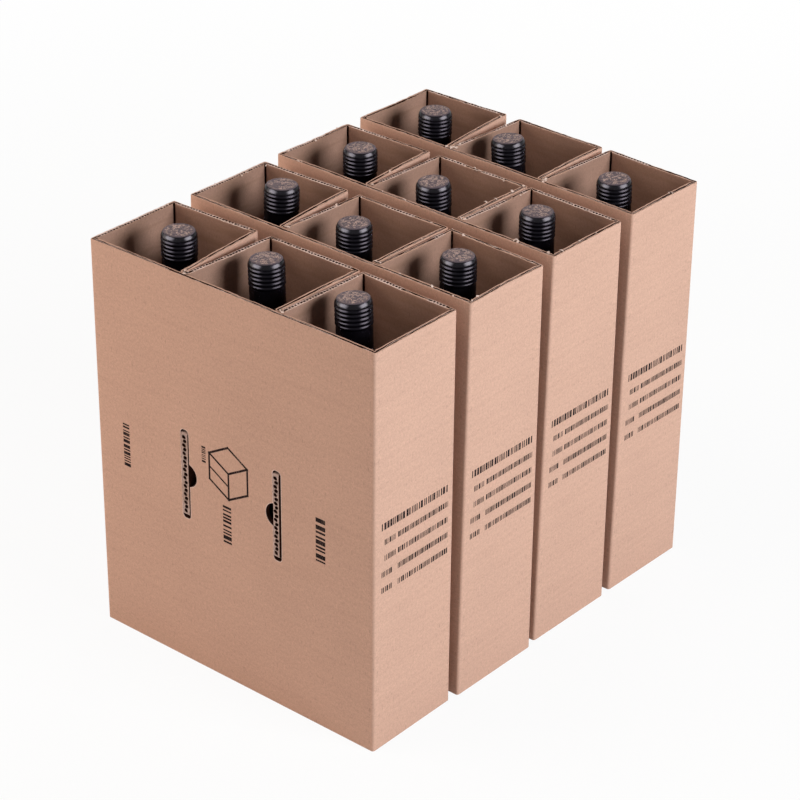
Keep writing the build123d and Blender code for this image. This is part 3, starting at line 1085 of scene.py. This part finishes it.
def bottle_outline(punt):
    """Radius and height from the middle of the bottom up to the top of the neck."""
    shoulder_centre = BOTTLE_RADIUS - SHOULDER_RADIUS
    reach = SHOULDER_RADIUS + NECK_BLEND
    turn = math.degrees(math.acos((NECK_RADIUS + NECK_BLEND - shoulder_centre) / reach))
    neck_height = SHOULDER_HEIGHT + reach * math.sin(math.radians(turn))
    points = [(0.0, punt), (8.0, punt * 0.97), (16.0, punt * 0.80), (23.0, punt * 0.48)]
    points += [(28.0, punt * 0.14), (30.0, 0.6), (31.4, 0.0)]
    points += arc((BOTTLE_RADIUS - HEEL, HEEL), HEEL, -90, 0, 6)
    points += [(BOTTLE_RADIUS, 60.0), (BOTTLE_RADIUS, 120.0)]
    points += arc((shoulder_centre, SHOULDER_HEIGHT), SHOULDER_RADIUS, 0, turn, 14)
    points += arc((NECK_RADIUS + NECK_BLEND, neck_height), NECK_BLEND, 180 + turn, 180, 8)[1:]
    return points + [(NECK_RADIUS, NECK_TOP), (0.0, NECK_TOP)]


def cap_outline(rib):
    """Radius and height from the top's middle down the side and up inside; also its worn bands."""
    top = [(0.0, -0.20), (2.4, -0.20), (2.9, -0.05), (3.4, -0.20), (8.2, -0.20), (8.7, -0.06)]
    top += [(9.3, -0.24), (10.9, -0.24), (11.5, -0.06)]
    edge = arc((11.6, -2.05), 2.0, 86, 38, 6)
    roll = arc((6.87, -5.75), 8.0, 36, 8, 7) + [(14.80, -5.0), (14.30, -5.4)]
    ribs = []
    for centre in (7.1, 10.6, 14.1, 17.6, 21.1):
        for across in np.linspace(-1, 1, 9):
            swell = rib * math.cos(across * math.pi / 2) ** 1.2 if abs(across) < 1 else 0.0
            ribs.append((14.22 + swell, -centre - across * 1.6))
    skirt = [(14.30, -24.2), (CAP_RADIUS, -25.0), (CAP_RADIUS, -41.2), (14.30, -41.4)]
    skirt += [(14.30, -41.8), (CAP_RADIUS, -42.0), (CAP_RADIUS, -58.2), (14.46, -59.4)]
    inside = [(14.3, -CAP_LENGTH), (14.12, -59.8), (14.12, -2.6), (0.0, -2.6)]
    return top + edge + roll + ribs + skirt + inside, len(top + edge) - 2


def node_axis(name):
    """Lowest point and direction of the axis of a round CAD node."""
    points = np.array([vertex.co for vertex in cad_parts[name].data.vertices])
    points = np.unique(points.round(6), axis=0)
    middle = points.mean(0)
    values, ways = np.linalg.eigh(np.cov((points - middle).T))
    way = ways[:, -1] * np.sign(ways[2, -1])
    reach = (points - middle) @ way
    return Vector(middle + way * reach.min()), Vector(way)


def stand_on_axes(mesh, height, seed, kind, part):
    """Copies of a round mesh on the axes of the twelve bottles, each turned by chance."""
    chance = random.Random(seed)
    for row in range(1, 5):
        for column in range(1, 4):
            foot, way = node_axis(f"bottle_{row}_{column}")
            lean = Vector((0, 0, 1)).rotation_difference(way).to_matrix().to_4x4()
            spin = Matrix.Rotation(chance.uniform(0, 6.28), 4, "Z")
            made = mesh.copy()
            made.transform(Matrix.Translation(foot + way * height) @ lean @ spin)
            node = f"{kind}_{row}_{column}"
            add_piece(f"{node}_{part}", made, [node])


class PACK_OT_sleeves(bpy.types.Operator):
    """Build the four folded board sleeves"""

    bl_idname = "pack.sleeves"
    bl_label = "Sleeves"

    def execute(self, context):
        board = context.scene.pack_board
        materials = [
            board_material("kraft_outside", board, board.kraft, 0.05),
            cut_material("cut_liner", board.cut),
            medium_shade_material(board),
            ink_material(board),
            # Inside liner: its own colour darkened further as painted shade of the cells
            board_material("kraft_inside", board, board.inner, 0.35),
            cut_material("pressed_end", toned(board.cut, 0.66)),
            cut_material("torn_fibres", toned(board.cut, 1.1)),
        ]
        for number in range(4):
            mesh = make_sleeve(number, board, materials)
            if not mesh.polygons:
                raise RuntimeError(f"sleeve {number + 1} has no faces")
            add_piece(mesh.name, mesh, [f"sleeve_{number + 1}"])
        return {"FINISHED"}


class PACK_OT_bottles(bpy.types.Operator):
    """Build the twelve sealed bottles"""

    bl_idname = "pack.bottles"
    bl_label = "Bottles"

    def execute(self, context):
        bottle = context.scene.pack_bottle
        outline = bottle_outline(bottle.punt / MM)
        numbers = [0] * (len(outline) - 1)
        mesh = lathe("bottle_glass", outline, bottle.facets, [glass_material(bottle)], numbers)
        stand_on_axes(mesh, 0.0, 4, "bottle", "glass")
        return {"FINISHED"}


class PACK_OT_caps(bpy.types.Operator):
    """Build the twelve screw caps with their rolled ribs"""

    bl_idname = "pack.caps"
    bl_label = "Screw caps"

    def execute(self, context):
        cap = context.scene.pack_cap
        outline, worn = cap_outline(cap.rib / MM)
        materials = [lacquer_material(cap), worn_material(cap)]
        numbers = [1] * worn + [0] * (len(outline) - 1 - worn)
        mesh = lathe("cap_shell", outline, cap.facets, materials, numbers)
        stand_on_axes(mesh, (NECK_TOP + CAP_OVER_NECK) * MM, 8, "cap", "shell")
        return {"FINISHED"}


def set_facing(made, place, aim):
    """Puts a lamp or a soft box at its place, facing a point."""
    made.location = place
    made.rotation_euler = (Vector(aim) - Vector(place)).to_track_quat("-Z", "Y").to_euler()


def area_light(name, place, aim, size, power, colour, mirrored):
    """Soft lamp; one that isn't mirrored leaves no glint on the caps."""
    lamp = bpy.data.lights.new(name, "AREA")
    lamp.shape = "RECTANGLE"
    lamp.size, lamp.size_y = size
    lamp.energy = power
    lamp.color = colour
    made = bpy.data.objects.new(name, lamp)
    set_facing(made, place, aim)
    made.visible_glossy = mirrored
    bpy.context.scene.collection.objects.link(made)


def stage_sheet(name, size, shader):
    """Rectangle round the origin, for the floor or a soft box."""
    x, y = size[0] / 2, size[1] / 2
    mesh = bpy.data.meshes.new(name)
    mesh.from_pydata([(-x, -y, 0), (x, -y, 0), (x, y, 0), (-x, y, 0)], [], [(0, 1, 2, 3)])
    mesh.materials.append(shader.owner)
    made = bpy.data.objects.new(name, mesh)
    bpy.context.scene.collection.objects.link(made)
    return made


def softbox(name, place, glow):
    """Wide soft box that only shows as a glint on glossy pieces and lights nothing."""
    shader = finish(name, Specular_IOR_Level=0.0, Emission_Strength=glow)
    black, white = (0.0, 0.0, 0.0), (1.0, 0.97, 1.0)
    across = shader.split(shader.node("ShaderNodeTexCoord"), 0)
    fade = across.between(0.0, 0.4) * (1 - across.between(0.6, 1.0))
    shader.surface(Base_Color=black, Emission_Color=shader.mix(fade, black, white))
    shader.owner.cycles.emission_sampling = "NONE"
    box = stage_sheet(name, SOFTBOX_SIZE, shader)
    set_facing(box, place, SOFTBOX_AIM)
    for ray in ("camera", "diffuse", "transmission", "volume_scatter", "shadow"):
        setattr(box, f"visible_{ray}", False)


def sees_background(shader):
    """1 for rays that bring the background into the picture, 0 for those that only light things."""
    rays = [shader.node("ShaderNodeLightPath", output=index) for index in (0, 3, 6)]
    return (rays[0] + rays[1] + rays[2]) > 0.5


def studio_world(stage):
    """Even light all round, and plain white where it is seen."""
    shader = Shader(bpy.data.worlds.new("studio"))
    background = shader.tree.nodes["Background"]
    shader.feed(background.inputs["Color"], (1.0, 1.0, 1.0))
    strength = sees_background(shader) * (1 - stage.ambient) + stage.ambient
    shader.feed(background.inputs["Strength"], strength)
    return shader.owner


def floor_shader(stage):
    """Pale floor, seen nearly white: it keeps the pack's shadow and turns plain white far off."""
    shader = finish("pale_floor", Roughness=0.9, Specular_IOR_Level=0.0)
    place = shader.place()
    grain = shader.cloud(place, 3.0, 2.0)
    shader.surface(Base_Color=shader.mix(grain, toned(stage.floor, 0.99), stage.floor))
    white = shader.node("ShaderNodeEmission", {}, {"Color": (1.0, 1.0, 1.0), "Strength": 1.0})
    lit = Wire(shader, shader.principled.outputs[0])
    away = shader.node("ShaderNodeVectorMath", {"operation": "LENGTH"}, {0: place}, output=1)
    share = sees_background(shader) * (0.92 + away.between(0.5, 1.9) * 0.08)
    seen = shader.node("ShaderNodeMixShader", {}, {0: share, 1: lit, 2: white})
    shader.feed(shader.tree.nodes["Material Output"].inputs["Surface"], seen)
    return shader


class PACK_OT_stage(bpy.types.Operator):
    """Set up the pale floor, the soft light and the camera"""

    bl_idname = "pack.stage"
    bl_label = "Stage"

    def execute(self, context):
        stage = context.scene.pack_stage
        stage_sheet("floor", FLOOR_SIZE, floor_shader(stage))
        context.scene.world = studio_world(stage)
        for name, (place, aim, size, colour, mirrored) in LAMPS.items():
            area_light(name, place, aim, size, getattr(stage, name), colour, mirrored)
        for name, (place, share) in SOFTBOXES.items():
            softbox(name, place, stage.glint * share)
        self.camera(context, stage)
        context.scene.view_settings.view_transform = "Standard"
        return {"FINISHED"}

    def camera(self, context, stage):
        """Camera where the photograph was taken from."""
        data = bpy.data.cameras.new("camera")
        data.sensor_width = 36.0
        data.lens = stage.lens
        data.clip_start, data.clip_end = 0.05, 60.0
        camera = bpy.data.objects.new("camera", data)
        turn = Matrix(CAMERA_AXES).transposed().to_4x4()
        camera.matrix_world = Matrix.Translation(CAMERA_PLACE) @ turn
        context.scene.collection.objects.link(camera)
        context.scene.camera = camera


# Each group of pieces with its settings and its step, in order
STEPS = (
    ("pack_board", BoardSettings, PACK_OT_sleeves),
    ("pack_bottle", BottleSettings, PACK_OT_bottles),
    ("pack_cap", CapSettings, PACK_OT_caps),
    ("pack_stage", StageSettings, PACK_OT_stage),
)


class PACK_PT_panel(bpy.types.Panel):
    """Steps that dress the pack, in order"""

    bl_idname = "PACK_PT_panel"
    bl_label = "Shipping Pack"
    bl_space_type = "VIEW_3D"
    bl_region_type = "UI"
    bl_category = "Shipping Pack"

    def draw(self, context):
        for group, _, step in STEPS:
            box = self.layout.box()
            settings = getattr(context.scene, group)
            for name in settings.__annotations__:
                box.prop(settings, name)
            box.operator(step.bl_idname)


def register():
    for group, settings, step in STEPS:
        bpy.utils.register_class(settings)
        bpy.utils.register_class(step)
        setattr(bpy.types.Scene, group, PointerProperty(type=settings))
    bpy.utils.register_class(PACK_PT_panel)


def unregister():
    bpy.utils.unregister_class(PACK_PT_panel)
    for group, settings, step in reversed(STEPS):
        delattr(bpy.types.Scene, group)
        bpy.utils.unregister_class(step)
        bpy.utils.unregister_class(settings)


def main():
    register()
    bpy.ops.pack.sleeves()
    bpy.ops.pack.bottles()
    bpy.ops.pack.caps()
    bpy.ops.pack.stage()


if __name__ == "__main__":
    main()
